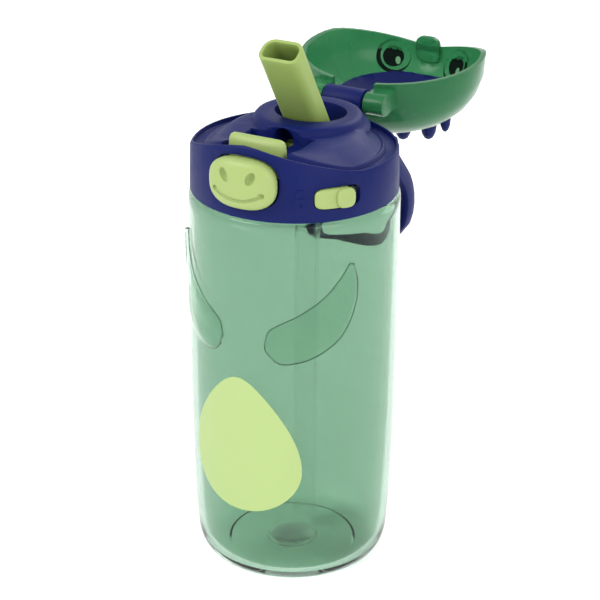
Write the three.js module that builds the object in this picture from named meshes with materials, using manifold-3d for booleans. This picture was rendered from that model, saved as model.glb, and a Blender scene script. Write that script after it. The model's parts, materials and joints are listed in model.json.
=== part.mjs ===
// Kids' straw bottle with a push-button flip cover, in millimetres.
// +Z is up, the button side faces -Y, and the origin is the centre of the standing face.
// Angles are in degrees round the bottle, 0 at the front and positive towards +X.
import * as THREE from 'three';
import { mergeVertices } from 'three/addons/utils/BufferGeometryUtils.js';
import Module from 'manifold-3d';

const wasm = await Module();
wasm.setup();

// ---- driving dimensions -------------------------------------------------------------------
const GAP = 0.3;                 // play between neighbouring pieces
const AROUND = 48;               // facets round the bottle

const BODY = { radius: 36.5, top: 139.6, floor: 3.2, padRadius: 7.8 };
const NECK = { radius: 27.5, top: 148.9, wall: 2.2 };
const THREAD = { starts: 3, lead: 12, span: 45, height: 1.6, depth: 1.5, z: 143.4 };
const ARM = { relief: 1.2 };

const LID = { radius: 35.9, bottom: 139.9, wall: 2.3, deck: 160.8, sheet: 2.0 };
const RIM = { front: 165, side: 155, halfAngle: 61.5 };
const TURRET = { y: 9.8, radius: 19.1, skirt: 21.3, top: 163.5, mouthY: 11.4, mouthX: 12.9, mouthDepth: 11 };
const TRAY = { halfWidth: 12.6, front: -31, back: -9, floor: 157.5, sheet: 1.9 };
const LINER = { inner: 29.4, outer: 31.2, bottom: 140.6, plate: 150.5, sheet: 1.6 };

const BUTTON = { halfWidth: 12.2, halfHeight: 8.7, z: 152.6, back: 33.9, proud: 40.2 };
const BAR = { halfWidth: 10.5, y: -25.8, thickness: 5, bottom: 152.6, top: 165.4 };
const LOCK = { from: 38.8, to: 60.8, bottom: 144.5, top: 151.4, throw: 4 };

const HINGE = { y: 38.3, z: 159.5, pin: 1.5, knuckle: 4.5, halfBlock: 7.4, halfPin: 15.2 };
const COVER = { radius: 34.1, wall: 2.0, crown: 182.6, power: 2.4, open: 176, ear: 15.8 };
const TAB = { halfWidth: 4.9, y: -30.5, thickness: 1.8, bottom: 159.5 };
const CREST = { halfWidth: 23, halfLength: 26, sheet: 1.4, root: 167 };
// spikes of the crest: x and y of the centre, height of the tip and half width, each with a mirrored twin
const SPIKES = [[4.5, 1, 188.6, 3.1], [14, -1, 187.6, 2.9], [19.6, -3.5, 184.6, 2]];

const STRAW = { y: 9.5, outer: 4.2, inner: 3.3, bottom: 7, top: 147.5 };
const SPOUT = { y: 10.2, z: 159, lean: 32.8, length: 37.2, fold: 12.8, halfWidth: 7.5, depth: 4.7, wall: 1.6 };
const LOOP = { pivotY: 36, pivotZ: 146, armX: 18.4, thickness: 3.6, width: 6.6 };

const DEG = Math.PI / 180;
const vec = (x, y, z) => new THREE.Vector3(x, y, z);

/** Point at an angle round the bottle, a radius and a height. */
const polar = (angle, r, z) => vec(r * Math.sin(angle * DEG), -r * Math.cos(angle * DEG), z);

/** n values from a to b, both included. */
const steps = (a, b, n) => Array.from({ length: n }, (_, i) => a + ((b - a) * i) / (n - 1));

/** Smooth ramp from 0 to 1. */
const ease = (t) => THREE.MathUtils.smoothstep(t, 0, 1);

// ---- solids -------------------------------------------------------------------------------

/** Turns a closed geometry into a solid, with its faces pointing out. */
function toSolid(geometry) {
  const bare = geometry.clone();
  bare.deleteAttribute('normal');
  bare.deleteAttribute('uv');
  const merged = mergeVertices(bare, 1e-4);
  const at = merged.attributes.position.array;
  const corners = [];
  let volume = 0;
  for (let i = 0; i < merged.index.count; i += 3) {
    const [a, b, c] = [0, 1, 2].map((k) => merged.index.getX(i + k));
    if (a === b || b === c || c === a) continue;
    corners.push([a, b, c]);
    const [p, q, r] = [a, b, c].map((k) => vec(at[3 * k], at[3 * k + 1], at[3 * k + 2]));
    volume += p.dot(q.cross(r));
  }
  const triVerts = Uint32Array.from(corners.flatMap(([a, b, c]) => (volume < 0 ? [a, c, b] : [a, b, c])));
  return new wasm.Manifold(new wasm.Mesh({ numProp: 3, vertProperties: Float32Array.from(at), triVerts }));
}

/** The geometry of a finished solid. */
function toGeometry(solid) {
  const mesh = solid.getMesh();
  const geometry = new THREE.BufferGeometry();
  geometry.setAttribute('position', new THREE.BufferAttribute(mesh.vertProperties, 3));
  geometry.setIndex(new THREE.BufferAttribute(mesh.triVerts, 1));
  geometry.computeVertexNormals();
  return geometry;
}

/** Solid through rings of equal point counts, capped at its ends or closed on itself. */
function loft(rings, closed = false) {
  const count = rings[0].length;
  const points = rings.flat();
  const index = [];
  const spans = closed ? rings.length : rings.length - 1;
  for (let i = 0; i < spans; i++) {
    const a = i * count;
    const b = ((i + 1) % rings.length) * count;
    for (let j = 0; j < count; j++) {
      const k = (j + 1) % count;
      index.push(a + j, a + k, b + k, a + j, b + k, b + j);
    }
  }
  if (!closed) {
    for (const [start, first] of [[0, true], [(rings.length - 1) * count, false]]) {
      const ring = points.slice(start, start + count);
      const middle = ring.reduce((sum, p) => sum.add(p), vec(0, 0, 0)).divideScalar(count);
      for (let j = 0; j < count; j++) {
        const k = (j + 1) % count;
        index.push(...(first ? [points.length, start + k, start + j] : [points.length, start + j, start + k]));
      }
      points.push(middle);
    }
  }
  const geometry = new THREE.BufferGeometry().setFromPoints(points);
  geometry.setIndex(index);
  return toSolid(geometry);
}

/** Solid of revolution about +Z from [radius, height] pairs, a ring if it starts off the axis. */
function revolve(profile, { y = 0, facets = AROUND } = {}) {
  const outline = profile[0][0] > 0 ? [...profile, profile[0]] : profile;
  const points = outline.map(([r, z]) => new THREE.Vector2(r, z));
  return toSolid(new THREE.LatheGeometry(points, facets).rotateX(Math.PI / 2).translate(0, y, 0));
}

/** Box between two corners. */
function box([x0, y0, z0], [x1, y1, z1]) {
  const block = new THREE.BoxGeometry(x1 - x0, y1 - y0, z1 - z0);
  return toSolid(block.translate((x0 + x1) / 2, (y0 + y1) / 2, (z0 + z1) / 2));
}

/** Round bar along X between x0 and x1. */
function barX(radius, x0, x1, y, z, facets = 24) {
  const bar = new THREE.CylinderGeometry(radius, radius, x1 - x0, facets);
  return toSolid(bar.rotateZ(Math.PI / 2).translate((x0 + x1) / 2, y, z));
}

/** Round post along Z between z0 and z1. */
function post(radius, z0, z1, x, y, facets = 32) {
  const bar = new THREE.CylinderGeometry(radius, radius, z1 - z0, facets);
  return toSolid(bar.rotateX(Math.PI / 2).translate(x, y, (z0 + z1) / 2));
}

/** Prism along X, from -half to half, over [y, z] points. */
function prismX(outline, half) {
  const shape = new THREE.Shape(outline.map(([y, z]) => new THREE.Vector2(y, z)));
  const prism = new THREE.ExtrudeGeometry(shape, { depth: 2 * half, bevelEnabled: false });
  return toSolid(prism.rotateY(Math.PI / 2).rotateX(Math.PI / 2).translate(-half, 0, 0));
}

/** Helical coil spring along X or Y, centred on a point. */
function coil({ centre, axis, radius, wire, length, turns }) {
  const along = axis === 'x' ? vec(1, 0, 0) : vec(0, 1, 0);
  const across = vec(0, 0, 1);
  const third = along.clone().cross(across);
  const rings = steps(0, turns * 8, turns * 8 + 1).map((i) => {
    const turn = (i * Math.PI) / 4;
    const out = across.clone().multiplyScalar(Math.cos(turn)).addScaledVector(third, Math.sin(turn));
    const middle = centre.clone().addScaledVector(along, length * (i / (turns * 8) - 0.5));
    middle.addScaledVector(out, radius);
    return steps(0, 3, 4).map((k) => middle.clone()
      .addScaledVector(out, wire * Math.cos(k * Math.PI / 2))
      .addScaledVector(along, wire * Math.sin(k * Math.PI / 2)));
  });
  return loft(rings);
}

/** Rounded outline of [width, height] offsets round (0, 0): a superellipse. */
function softOutline(halfWidth, halfHeight, power, count = 32) {
  return steps(0, count - 1, count).map((i) => {
    const turn = (2 * Math.PI * i) / count;
    const bend = (value) => Math.sign(value) * Math.abs(value) ** (2 / power);
    return [halfWidth * bend(Math.cos(turn)), halfHeight * bend(Math.sin(turn))];
  });
}

/** Solid standing on the round wall: an outline wrapped at each [radius, scale] layer. */
function wrapped(outline, angle, z, layers) {
  const perMm = 1 / (36 * DEG);
  return loft(layers.map(([r, scale]) => (
    outline.map(([u, v]) => polar(angle + u * scale * perMm, r, z + v * scale))
  )));
}

/** Union of solids. */
const join = (...solids) => solids.reduce((sum, solid) => sum.add(solid));

/** A solid less each of the others. */
const cut = (solid, ...tools) => tools.reduce((rest, tool) => rest.subtract(tool), solid);

// ---- shared curves ------------------------------------------------------------------------

/** Height of the lid's edge at an angle: high over the button, low at the sides and back. */
function rimHeight(angle) {
  const away = Math.abs(THREE.MathUtils.euclideanModulo(angle + 180, 360) - 180);
  const climb = (RIM.front - RIM.side) * (1 - (Math.hypot(away, 5) - 5) / RIM.halfAngle);
  return RIM.side + (climb + Math.hypot(climb, 0.8)) / 2;
}

/** One dome of the cover: rings from its edge to its crown. */
function coverDome(radius, crown, drop) {
  const levels = steps(0, 1, 8).map((t) => t * 90 * DEG * 0.995);
  const rings = levels.map((level) => steps(0, AROUND - 1, AROUND).map((i) => {
    const angle = (360 * i) / AROUND;
    const edge = rimHeight(angle) - 0.45;
    const out = Math.cos(level) ** (2 / COVER.power);
    const up = Math.sin(level) ** (2 / COVER.power);
    return polar(angle, radius * out, edge + (crown - edge) * up);
  }));
  const lowered = rings[0].map((p) => vec(p.x, p.y, p.z - drop));
  return loft(drop > 0 ? [lowered, ...rings] : rings);
}

// ---- bottle -------------------------------------------------------------------------------

/** Helical thread ribs: r0 to r1, with the lowest face of the first end at z. */
function threadRibs(r0, r1, z) {
  const ribs = steps(0, THREAD.starts - 1, THREAD.starts).map((start) => {
    const from = (360 / THREAD.starts) * start;
    return loft(steps(0, THREAD.span, 7).map((turn) => {
      const low = z + (THREAD.lead * turn) / 360;
      const high = low + THREAD.height;
      return [[r0, low], [r1, low + 0.3], [r1, high - 0.3], [r0, high]].map(([r, at]) => polar(from + turn, r, at));
    }));
  });
  return join(...ribs);
}

/** Raised arm on the bottle's side: a curved horn that tapers to its tip. */
function raisedArm(side) {
  const path = new THREE.CatmullRomCurve3([
    vec(14.2, 94, 2), vec(17.5, 94.8, 6), vec(26, 96.6, 7.7), vec(36, 99.4, 8.2),
    vec(46, 103.8, 8), vec(53.5, 110, 6.4), vec(58, 117, 4), vec(60, 124, 1),
  ]);
  const rings = steps(0, 1, 11).map((t) => {
    const at = path.getPoint(t);
    const slope = path.getTangent(t);
    const [du, dz] = [-slope.y, slope.x * 36 * DEG];
    const size = Math.hypot(du, dz);
    return [-1, -0.7, 0, 0.7, 1, 0.7, 0, -0.7].map((s, k) => {
      const proud = k < 5 ? ARM.relief * (1 - s * s) : -1.0;
      const angle = at.x + (s * at.z * du) / size / (36 * DEG);
      return polar(side * angle, BODY.radius - 0.2 + proud, at.y + (s * at.z * dz) / size);
    });
  });
  return loft(rings);
}

/** Clear bottle: barrel, standing ring, centre pad, shoulder and threaded neck. */
function bottleBody() {
  const inner = NECK.radius - NECK.wall;
  const outside = [
    [0, 0], [BODY.padRadius, 0], [9, 0.8], [22.5, 0.8], [23.5, 0], [28.5, 0], [31.4, 1.2], [33.2, 4], [34.2, 8],
    [34.9, 13], [35.3, 22], [35.8, 38], [36.3, 58], [BODY.radius, 85], [BODY.radius, 135], [36.4, 138.2],
    [35.8, 139.3], [35, BODY.top], [28.1, BODY.top], [NECK.radius, 140.2], [NECK.radius, NECK.top - 0.4],
    [NECK.radius - 0.4, NECK.top],
  ];
  const inside = [
    [inner, NECK.top], [inner, 139.4], [26.2, 137.6], [32.4, 137], [33.8, 135.8], [34.3, 134], [34.3, 85],
    [34.1, 58], [33.6, 38], [33, 22], [32.2, 13], [30.6, 7.5], [28.4, 4.4], [25.7, BODY.floor], [9, BODY.floor],
    [BODY.padRadius, 3.9], [5, 4.7], [0, 5],
  ];
  const barrel = revolve([...outside, ...inside]);
  const thread = threadRibs(NECK.radius - 0.3, NECK.radius + THREAD.depth, THREAD.z);
  return join(barrel, thread, raisedArm(1), raisedArm(-1));
}

// ---- lid ----------------------------------------------------------------------------------

/** Section of the lid's shell at an angle: skirt, cover seat, bead, sloping deck and underside. */
function lidSection(angle) {
  const rim = rimHeight(angle);
  const seat = rim - 1.3;
  const deck = (r) => rim + 0.3 + (LID.deck - rim - 0.3) * ease((29.5 - r) / 9);
  const under = (r) => deck(r) - LID.sheet;
  const section = [
    [LID.radius, LID.bottom], [LID.radius - 0.1, 147], [35.6, rim - 0.9], [35.2, rim], [34.6, rim], [34.4, seat],
    [31.2, seat], [30.7, rim - 0.2], [30.0, rim + 0.3], [29.3, rim - 0.1], [28.6, deck(28.6)], [26, deck(26)],
    [23, deck(23)], [20.5, deck(20.5)], [8, LID.deck], [8, LID.deck - LID.sheet],
    [20.5, under(20.5)], [24, under(24)],
    [27.5, under(28)], [33.2, rim - 2.9], [LID.radius - LID.wall, rim - 5], [LID.radius - LID.wall, LID.bottom],
  ];
  return section.map(([r, z]) => polar(angle, r, z));
}

/** Raised ring round the drinking spout. */
function turret() {
  return revolve([
    [0, 156], [TURRET.skirt, 156], [TURRET.skirt, 159], [20.1, 160], [TURRET.radius, 161.2],
    [TURRET.radius - 0.4, 162.2], [17.9, 163.1], [16.3, TURRET.top], [14.4, 163.2], [0, 162.6],
  ], { y: TURRET.y });
}

/** Knuckle and foot of the cover's hinge, at the lid's back. */
function hingeBlock() {
  const outline = [
    [30, 153], [35.2, 151], [38, 153.5], [41.6, 158], [42, HINGE.z], [34, HINGE.z], [31, 158],
  ];
  const foot = prismX(outline, HINGE.halfBlock);
  return join(barX(HINGE.knuckle, -HINGE.halfBlock, HINGE.halfBlock, HINGE.y, HINGE.z), foot);
}

/** Two ears on the lid's back that carry the loop's pins. */
function loopEar(side) {
  const [x0, x1] = side > 0 ? [13, 16.2] : [-16.2, -13];
  const round = barX(3, x0, x1, LOOP.pivotY, LOOP.pivotZ);
  return join(round, box([x0, 32.4, LOOP.pivotZ - 3], [x1, LOOP.pivotY, LOOP.pivotZ + 3]));
}

/** Generic closed-padlock mark, standing a little proud of the skirt beside the lock. */
function padlockMark() {
  const body = wrapped(softOutline(2.3, 1.9, 6, 16), 31.4, 146.6, [[35, 1], [36.15, 1]]);
  const bow = wrapped(softOutline(1.9, 2.6, 2, 16), 31.4, 149.0, [[35, 1], [36.1, 1]]);
  const bowHole = wrapped(softOutline(1.1, 1.7, 2, 16), 31.4, 149.2, [[35.85, 1], [37, 1]]);
  const keyhole = wrapped(softOutline(0.6, 0.9, 2, 12), 31.4, 146.6, [[35.85, 1], [37, 1]]);
  return cut(join(body, cut(bow, bowHole)), keyhole);
}

/** Outer shell of the lid. */
function lidShell() {
  const rings = steps(0, AROUND - 1, AROUND).map((i) => lidSection((360 * i) / AROUND));
  const { halfWidth, front, back, floor, sheet } = TRAY;
  const tray = box([-halfWidth - 1.6, front, floor - sheet], [halfWidth + 1.6, back, floor + 1]);
  const solid = join(loft(rings, true), turret(), tray, hingeBlock(), loopEar(1), loopEar(-1), padlockMark());
  const oval = softOutline(TURRET.mouthX, TURRET.mouthDepth, 2, 40).map(([x, y]) => [x, y + TURRET.mouthY]);
  const mouth = join(
    loft([150, 170].map((z) => oval.map(([x, y]) => vec(x, y, z)))),
    spoutPrism([[-4, -0.5], [12, -0.5]]),
  );
  const channel = loft([[floor, 0], [170, 2.5]].map(([z, splay]) => [
    [-halfWidth + 1 - splay, front + 1.6], [halfWidth - 1 + splay, front + 1.6],
    [halfWidth - 1 + splay, -8.5], [8, -8.2], [-8, -8.2], [-halfWidth + 1 - splay, -8.5],
  ].map(([x, y]) => vec(x, y, z))));
  const barSlot = box([-BAR.halfWidth - 0.5, -31.8, 149], [BAR.halfWidth + 0.5, -21.0, 170]);
  const niche = join(box([-3.75, -14.5, 157.1], [3.75, 0, 159]), toSolid(
    new THREE.CylinderGeometry(3.75, 3.75, 14.5, 24).translate(0, -7.25, 159)));
  const ventHole = post(2.1, 150, 160, 0, -12.2, 16);
  const wallCut = [[32.6, 1], [39, 1]];
  const windowOutline = softOutline(BUTTON.halfWidth + 0.6, BUTTON.halfHeight + 0.45, 2.6);
  const window = wrapped(windowOutline, 0, BUTTON.z, wallCut);
  const lockMid = (LOCK.from + LOCK.to + LOCK.throw) / 2;
  const lockHalf = ((LOCK.to + LOCK.throw - LOCK.from) / 2) * 36 * DEG + 0.4;
  const slotOutline = softOutline(lockHalf, (LOCK.top - LOCK.bottom) / 2 + 0.4, 4);
  const slot = wrapped(slotOutline, lockMid, 147.95, wallCut);
  const pinBore = barX(HINGE.pin + 0.2, -9, 9, HINGE.y, HINGE.z);
  const springRoom = join(barX(3.1, -3, 3, HINGE.y, HINGE.z), box([-3, 36, 154.5], [3, 40, HINGE.z]));
  const loopBores = [1, -1].map((side) => (
    barX(1.5, side * 14.6 - 2.4, side * 14.6 + 2.4, LOOP.pivotY, LOOP.pivotZ, 16)
  ));
  return cut(solid, channel, barSlot, mouth, niche, ventHole, window, slot, pinBore, springRoom, ...loopBores);
}

/** Inner cup of the lid: threaded wall and top plate with the straw and vent holes. */
function lidLiner() {
  const top = LINER.plate + LINER.sheet;
  const cup = revolve([
    [LINER.inner, LINER.bottom], [LINER.outer, LINER.bottom], [LINER.outer, top - 0.6],
    [LINER.outer - 0.6, top], [0, top], [0, LINER.plate], [LINER.inner, LINER.plate],
  ]);
  const ribs = threadRibs(LINER.inner + 0.3, NECK.radius + GAP, THREAD.z - THREAD.height - GAP);
  const stop = box([-2.5, -14.2, top - 0.5], [2.5, -12.9, 155.2]);
  const rod = post(0.8, 150, 156, 0, -13.5, 12);
  const strawHole = post(5, 149, 153, 0, STRAW.y);
  const valveHole = post(1.7, 149, 153, 0, -9, 16);
  return cut(join(cup, ribs, cut(stop, rod)), strawHole, valveHole);
}

/** Flat ring between the neck and the liner's plate. */
function lidSeal() {
  const [low, high] = [NECK.top + GAP, LINER.plate - GAP];
  return revolve([[25, low], [28.6, low], [28.8, low + 0.3], [28.8, high - 0.3], [28.6, high], [25, high]]);
}

/** Small umbrella valve in the liner's plate. */
function ventValve() {
  return revolve([
    [0, 149.2], [1.2, 149.2], [1.4, 149.9], [1.3, 150.4], [1.3, 152.4], [2.6, 152.4], [2.4, 153], [0, 153.4],
  ], { y: -9, facets: 16 });
}

// ---- straw and spout ----------------------------------------------------------------------

/** Socket that carries the straw under the liner's plate. */
function strawAdapter() {
  return revolve([
    [3.3, 148], [4.5, 147.8], [4.5, 138], [5.8, 138], [6, 139], [6, LINER.plate - GAP], [4.7, LINER.plate - GAP],
    [4.7, LINER.plate + LINER.sheet + GAP], [6, LINER.plate + LINER.sheet + GAP], [6, 153.2], [3.3, 153.2],
  ], { y: STRAW.y, facets: 24 });
}

/** Long drinking straw, down to just above the floor. */
function drinkingStraw() {
  const { inner, outer, bottom, top } = STRAW;
  return revolve([[inner, bottom], [outer, bottom], [outer, top], [inner, top]], { y: STRAW.y, facets: 32 });
}

/** D-shaped outline of the spout: flat towards the front, round at the back. */
function spoutOutline(inset) {
  const flat = softOutline(SPOUT.halfWidth - inset, SPOUT.depth - inset, 4, 24);
  const round = softOutline(SPOUT.halfWidth - inset, SPOUT.depth - inset, 2.1, 24);
  return flat.map((point, i) => (point[1] < 0 ? point : round[i]));
}

/** Prism along the spout's leaning axis through [distance, inset] rings. */
function spoutPrism(stops) {
  const lean = SPOUT.lean * DEG;
  return loft(stops.map(([s, inset]) => spoutOutline(inset).map(([u, v]) => vec(
    u, SPOUT.y - s * Math.sin(lean) + v * Math.cos(lean), SPOUT.z + s * Math.cos(lean) + v * Math.sin(lean)))));
}

/** Spout tube between two distances along its axis. */
function spoutTube(from, to) {
  const outer = spoutPrism([[from, 0.5], [from + 0.8, 0], [to - 0.8, 0], [to, 0.35]]);
  return cut(outer, spoutPrism([[from - 3, SPOUT.wall], [to + 3, SPOUT.wall]]));
}

/** Silicone bed under the spout, with the passage to the straw. */
function spoutBed() {
  return revolve([
    [3.6, 153.6], [12, 153.6], [12.2, 154], [12.2, 155.4], [10.5, 155.4], [9.6, 154.8], [3.6, 154.8],
  ], { y: TURRET.y, facets: 40 });
}

// ---- button, latch and lock ---------------------------------------------------------------

/** Button face: a soft oblong that swells out of the skirt. */
function pushButton() {
  return wrapped(softOutline(BUTTON.halfWidth, BUTTON.halfHeight, 2.6, 40), 0, BUTTON.z, [
    [BUTTON.back, 0.5], [BUTTON.back, 1], [37.4, 1], [38.6, 0.96], [39.6, 0.86],
    [BUTTON.proud, 0.64], [BUTTON.proud + 0.1, 0.25],
  ]);
}

/** Catch bar behind the lid's front edge, on the arm that joins it to the button. */
function latchBar() {
  const { halfWidth, y, thickness, bottom, top } = BAR;
  const layers = [
    [bottom, 1, 1], [top - 3.5, 1, 1], [top - 1.8, 0.985, 0.93], [top - 0.7, 0.95, 0.74], [top, 0.86, 0.36],
  ];
  const bar = loft(layers.map(([z, sx, sy]) => softOutline(halfWidth * sx, (thickness / 2) * sy, 3.2, 32)
    .map(([u, v]) => vec(u, y + v - 1.2 * (1 - (u / halfWidth) ** 2) * 0.4, z))));
  const arm = box([-7, -32.7, bottom], [7, y, 155.0]);
  return join(bar, arm);
}

/** Lock slider: flat oblong with a thumb nub, and a tail behind the skirt. */
function lockSlider() {
  const middle = (LOCK.from + LOCK.to) / 2;
  const half = ((LOCK.to - LOCK.from) / 2) * 36 * DEG;
  const tall = (LOCK.top - LOCK.bottom) / 2;
  const plateLayers = [[33.8, 0.5], [33.8, 1], [36.1, 1], [36.5, 0.93], [36.5, 0.4]];
  const nubLayers = [[35, 0.9], [37, 1], [37.7, 0.92], [38, 0.6]];
  const plate = wrapped(softOutline(half, tall, 4), middle, 147.95, plateLayers);
  const nub = wrapped(softOutline(3.3, tall, 3, 24), LOCK.to - 5.3, 147.95, nubLayers);
  const tail = wrapped(softOutline(8, 1.8, 6, 16), 39, 147.95, [[31.9, 1], [33.2, 1]]);
  const neck = wrapped(softOutline(2, 1.6, 4, 16), 46, 147.95, [[32.2, 1], [34.5, 1]]);
  return join(plate, nub, tail, neck);
}

/** Bent spring clip behind the lock that holds it at each end of its travel. */
function lockDetent() {
  return wrapped(softOutline(4.6, 1.5, 5, 16), 65, 147.95, [[31.7, 1], [32.2, 1], [33.0, 0.3]]);
}

// ---- cover --------------------------------------------------------------------------------

/** Upright spikes through [height, scale] stops; heights below the tip are counted from it. */
function crestSpikes(stops, grow = 0) {
  const mirrored = SPIKES.map(([x, y, tip, half]) => [-x, y, tip, half]);
  const ring = ([x, y, tip, half], [z, scale]) => (
    softOutline(half * scale + grow, 1.2 * half * scale + grow, 2, 12).map(([u, v]) => vec(x + u, y + v, tip + z))
  );
  return join(...[...SPIKES, ...mirrored].map((spike) => (
    loft([[CREST.root - spike[2], 1], ...stops].map((stop) => ring(spike, stop)))
  )));
}

/** Cover shell: domed head with hinge ears at the back and a catch tab at the front. */
function coverShell() {
  const spikeHoles = crestSpikes([[3, 1]], GAP);
  const inner = coverDome(COVER.radius - COVER.wall, COVER.crown - COVER.wall, 12);
  const blockRoom = box([-8.2, 22, 150], [8.2, 46, 167.5]);
  const ears = [1, -1].map((side) => {
    const [x0, x1] = side > 0 ? [8.2, COVER.ear] : [-COVER.ear, -8.2];
    const knuckle = barX(3.9, x0, x1, HINGE.y, HINGE.z);
    const web = box([x0, 30.6, HINGE.z - 3.4], [x1, HINGE.y, HINGE.z + 3.6]);
    return join(knuckle, web.subtract(coverDome(COVER.radius - COVER.wall, COVER.crown - COVER.wall, 12)));
  });
  const { halfWidth, y, thickness, bottom } = TAB;
  const face = softOutline(halfWidth, 5, 3.4, 28);
  const tab = join(
    loft([y - thickness / 2, y + thickness / 2].map((at) => face.map(([u, v]) => vec(u, at, v + bottom + 5)))),
    box([-2.6, y, bottom + 0.3], [2.6, y + thickness / 2 + 0.6, bottom + 1.7]),
    box([1 - halfWidth, -33.2, 165.6], [halfWidth - 1, y, 170.4]),
  );
  const head = cut(coverDome(COVER.radius, COVER.crown, 0), inner, blockRoom, spikeHoles);
  return cut(join(head, ...ears, tab), barX(HINGE.pin + 0.25, -15.4, 15.4, HINGE.y, HINGE.z));
}

/** Crest: plate that lines the crown inside, and rounded spikes that stand out through the shell. */
function coverCrest() {
  const inset = COVER.wall + GAP;
  const oval = softOutline(CREST.halfWidth, CREST.halfLength, 2, 36);
  const round = loft([CREST.root, COVER.crown].map((z) => oval.map(([x, y]) => vec(x, y, z))));
  const plate = round.intersect(coverDome(COVER.radius - inset, COVER.crown - inset, 0));
  const under = coverDome(COVER.radius - inset - CREST.sheet, COVER.crown - inset - CREST.sheet, 12);
  return cut(join(plate, crestSpikes([[-5, 1], [-2.4, 0.86], [-0.7, 0.56], [0, 0.2]])), under);
}

// ---- carry loop ---------------------------------------------------------------------------

/** Carry loop: a bowed strap from one ear, down behind the bottle and up to the other. */
function carryLoop() {
  const half = [
    vec(LOOP.armX, 36, 146), vec(LOOP.armX, 38.4, 140.5), vec(18.8, 43.6, 134.3), vec(19.2, 49.2, 127),
    vec(19.3, 51.1, 118.5), vec(18, 50.3, 111), vec(14, 48.8, 106.7), vec(8, 48.1, 105.1), vec(0, 47.9, 104.8),
  ];
  const mirrored = half.slice(0, -1).reverse().map((p) => vec(-p.x, p.y, p.z));
  const route = new THREE.CatmullRomCurve3([...half, ...mirrored], false, 'centripetal');
  const stops = 34;
  const rings = route.getSpacedPoints(stops).map((p, i) => {
    const ahead = route.getTangentAt(i / stops);
    const wide = vec(0, 1, 0).addScaledVector(ahead, -ahead.y).normalize();
    const side = ahead.clone().cross(wide);
    return softOutline(LOOP.width / 2, LOOP.thickness / 2, 4, 8)
      .map(([u, v]) => p.clone().addScaledVector(wide, u).addScaledVector(side, v));
  });
  const ends = [1, -1].map((s) => barX(3.6, s * LOOP.armX - 1.8, s * LOOP.armX + 1.8, LOOP.pivotY, LOOP.pivotZ));
  const bores = [1, -1].map((s) => barX(1.45, s * 17.6 - 1.8, s * 17.6 + 1.8, LOOP.pivotY, LOOP.pivotZ, 16));
  return cut(join(loft(rings), ...ends), ...bores);
}

// ---- assembly -----------------------------------------------------------------------------

const finish = (color, roughness, extra = {}) => ({ color, roughness, metalness: 0, ...extra });
const CLEAR_GREEN = finish(0x87b298, 0.1, { transparent: true, opacity: 0.45 });
const HEAD_GREEN = finish(0x3d7d55, 0.2, { transparent: true, opacity: 0.85 });
const NAVY = finish(0x263264, 0.35);
const LIME = finish(0xaec874, 0.45);
const SOFT_LIME = finish(0x9db46c, 0.6);
const MILKY = finish(0xd8e2dc, 0.5);
const STEEL = finish(0xb9bcc0, 0.3, { metalness: 1 });

const group = new THREE.Group();

/** Adds one named piece to a group. */
function addPiece(parent, name, solid, look) {
  const mesh = new THREE.Mesh(toGeometry(solid), new THREE.MeshStandardMaterial(look));
  mesh.name = name;
  parent.add(mesh);
}

addPiece(group, 'bottle_body', bottleBody(), CLEAR_GREEN);
addPiece(group, 'lid_seal', lidSeal(), MILKY);

addPiece(group, 'lid_shell', lidShell(), NAVY);
addPiece(group, 'lid_liner', lidLiner(), NAVY);
addPiece(group, 'vent_valve', ventValve(), MILKY);
addPiece(group, 'straw_adapter', strawAdapter(), MILKY);
addPiece(group, 'drinking_straw', drinkingStraw(), MILKY);
addPiece(group, 'spout_bed', spoutBed(), SOFT_LIME);
addPiece(group, 'spout_base', spoutTube(-2, SPOUT.fold), SOFT_LIME);
addPiece(group, 'spout_tip', spoutTube(SPOUT.fold + GAP, SPOUT.length), SOFT_LIME);

addPiece(group, 'push_button', pushButton(), LIME);
addPiece(group, 'latch_bar', latchBar(), LIME);
const latchCoil = { centre: vec(0, -18.9, 153.8), axis: 'y', radius: 0.9, wire: 0.25, length: 6.4, turns: 6 };
addPiece(group, 'latch_spring', coil(latchCoil), STEEL);
addPiece(group, 'lock_slider', lockSlider(), LIME);
addPiece(group, 'lock_detent', lockDetent(), STEEL);

addPiece(group, 'hinge_pin', barX(HINGE.pin, -HINGE.halfPin, HINGE.halfPin, HINGE.y, HINGE.z), STEEL);
const hingeCoil = { centre: vec(0, HINGE.y, HINGE.z), axis: 'x', radius: 2.3, wire: 0.35, length: 4.8, turns: 5 };
addPiece(group, 'hinge_spring', coil(hingeCoil), STEEL);

const cover = new THREE.Group();
cover.position.set(0, HINGE.y, HINGE.z);
cover.rotation.x = -COVER.open * DEG;
const coverParts = new THREE.Group();
coverParts.position.set(0, -HINGE.y, -HINGE.z);
cover.add(coverParts);
group.add(cover);
addPiece(coverParts, 'cover_shell', coverShell(), HEAD_GREEN);
addPiece(coverParts, 'cover_crest', coverCrest(), NAVY);

addPiece(group, 'carry_loop', carryLoop(), NAVY);
for (const [name, side] of [['loop_pin_right', 1], ['loop_pin_left', -1]]) {
  addPiece(group, name, barX(1.2, side * 16 - 3, side * 16 + 3, LOOP.pivotY, LOOP.pivotZ, 16), STEEL);
}

export default group;
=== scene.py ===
"""Kids' straw bottle with a push-button flip cover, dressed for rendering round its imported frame.

Lengths are in metres. +Z is up, the button side faces -Y, and the origin is the centre of the standing face.
"""
import json
import logging
import math
from collections.abc import Callable, Iterable
from dataclasses import dataclass, field
from enum import Enum

import bpy
from mathutils import Matrix, Vector

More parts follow.
